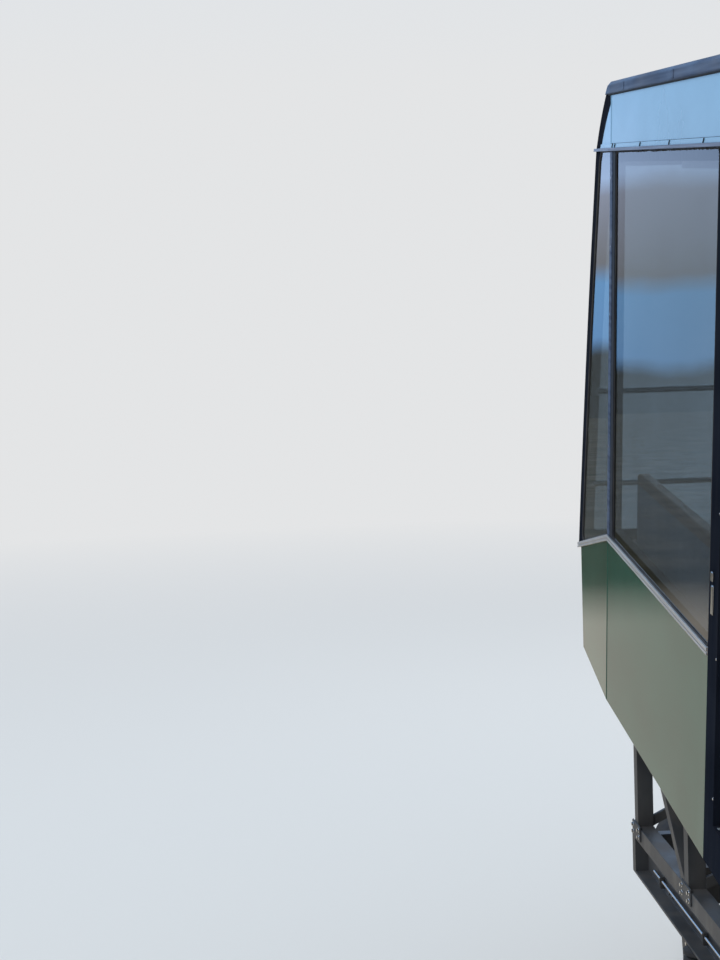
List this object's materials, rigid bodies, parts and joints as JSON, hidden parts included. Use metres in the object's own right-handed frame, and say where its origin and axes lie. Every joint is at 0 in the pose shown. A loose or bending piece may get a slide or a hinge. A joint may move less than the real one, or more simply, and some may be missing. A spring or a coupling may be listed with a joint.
{
  "type": "funicular railway car",
  "caption": "Level passenger cabin with large bonded windows, raked noses and sliding doors, on a wedge frame and inclined four-wheel chassis.",
  "frame": {"origin": "middle of the track in the plane of the flange tips, midway between the axles", "axes": "+Z square to the rails, -Y towards the downhill end, +X to the right when facing uphill; the cabin is tilted 8.5 degrees about X, so it is level on a 15 percent grade"},
  "size_m": [2.226, 7.0343, 4.4755],
  "materials": {
    "wheel_steel": "turned and rolled steel, polished on the tread",
    "chassis_paint": "satin dark grey paint, dusty",
    "cast_iron": "rough casting",
    "spring_rubber": "matt moulded rubber",
    "pack_paint": "satin grey enamel",
    "deck_covering": "flecked studded floor covering",
    "green_paint": "deep gloss paint",
    "bright_aluminium": "brushed and anodised",
    "gutter_metal": "weathered brown-grey oxide",
    "frame_paint": "charcoal gloss paint",
    "tinted_glass": "tinted, strongly reflecting",
    "screen_glass": "laminated, lightly tinted",
    "header_paint": "pale blue gloss paint",
    "roof_paint": "worn slate blue paint",
    "ceiling_white": "satin white",
    "bench_sheet": "powder coated sheet",
    "seat_fabric": "woven blue upholstery",
    "timber": "oiled hardwood",
    "rail_steel": "satin stainless tube",
    "desk_plastic": "grained moulding",
    "lamp_glass": "clear lens",
    "tail_lamp_red": "red lens",
    "light_diffuser": "opal diffuser",
    "wiper_black": "satin black"
  },
  "bodies": {
    "car": {"axle_springs": "spring_rubber", "axleboxes": "cast_iron", "back_cushions": "seat_fabric", "bench_frames": "bench_sheet", "buffers": "spring_rubber", "ceiling": "ceiling_white", "ceiling_lights": "light_diffuser", "chassis_frame": "chassis_paint", "door_tracks": "bright_aluminium", "driver_desks": "desk_plastic", "floor_deck": "deck_covering", "floor_frame": "chassis_paint", "gutters": "gutter_metal", "handrails": "rail_steel", "header_left": "header_paint", "header_right": "header_paint", "headlamps": "lamp_glass", "horn_guides": "chassis_paint", "lower_panels": "green_paint", "nose_apron_downhill": "green_paint", "nose_apron_uphill": "green_paint", "nose_frame_downhill": "frame_paint", "nose_frame_uphill": "frame_paint", "nose_rails": "rail_steel", "nose_windows": "tinted_glass", "power_pack": "pack_paint", "rail_brakes": "cast_iron", "rail_guards": "chassis_paint", "roof_shell": "roof_paint", "rope_drawbar": "chassis_paint", "seat_cushions": "seat_fabric", "side_windows": "tinted_glass", "tail_lamps": "tail_lamp_red", "timber_rails": "timber", "tow_eye": "chassis_paint", "waist_mouldings": "bright_aluminium", "wedge_braces": "chassis_paint", "wedge_truss_left": "chassis_paint", "wedge_truss_right": "chassis_paint", "window_frame_left": "frame_paint", "window_frame_right": "frame_paint", "windscreens": "screen_glass", "wipers": "wiper_black"},
    "wheelset_downhill": {"wheelset_downhill": "wheel_steel"},
    "wheelset_uphill": {"wheelset_uphill": "wheel_steel"},
    "leaf_right_downhill": {"door_leaf_right_downhill": "frame_paint", "door_glass_right_downhill": "tinted_glass"},
    "leaf_left_downhill": {"door_leaf_left_downhill": "frame_paint", "door_glass_left_downhill": "tinted_glass"},
    "leaf_right_uphill": {"door_leaf_right_uphill": "frame_paint", "door_glass_right_uphill": "tinted_glass"},
    "leaf_left_uphill": {"door_leaf_left_uphill": "frame_paint", "door_glass_left_uphill": "tinted_glass"}
  },
  "joints": [
    {"name": "wheelset_downhill_spin", "type": "hinge", "parent": "car", "child": "wheelset_downhill", "pos_m": [0, -2, 0.328], "axis": [1, 0, 0], "continuous": true},
    {"name": "wheelset_uphill_spin", "type": "hinge", "parent": "car", "child": "wheelset_uphill", "pos_m": [0, 2, 0.328], "axis": [1, 0, 0], "continuous": true},
    {"name": "leaf_right_downhill_slide", "type": "slide", "parent": "car", "child": "leaf_right_downhill", "axis": [0, -0.989, 0.1478], "range_m": [0, 0.64]},
    {"name": "leaf_left_downhill_slide", "type": "slide", "parent": "car", "child": "leaf_left_downhill", "axis": [0, -0.989, 0.1478], "range_m": [0, 0.64]},
    {"name": "leaf_right_uphill_slide", "type": "slide", "parent": "car", "child": "leaf_right_uphill", "axis": [0, 0.989, -0.1478], "range_m": [0, 0.64]},
    {"name": "leaf_left_uphill_slide", "type": "slide", "parent": "car", "child": "leaf_left_uphill", "axis": [0, 0.989, -0.1478], "range_m": [0, 0.64]}
  ]
}
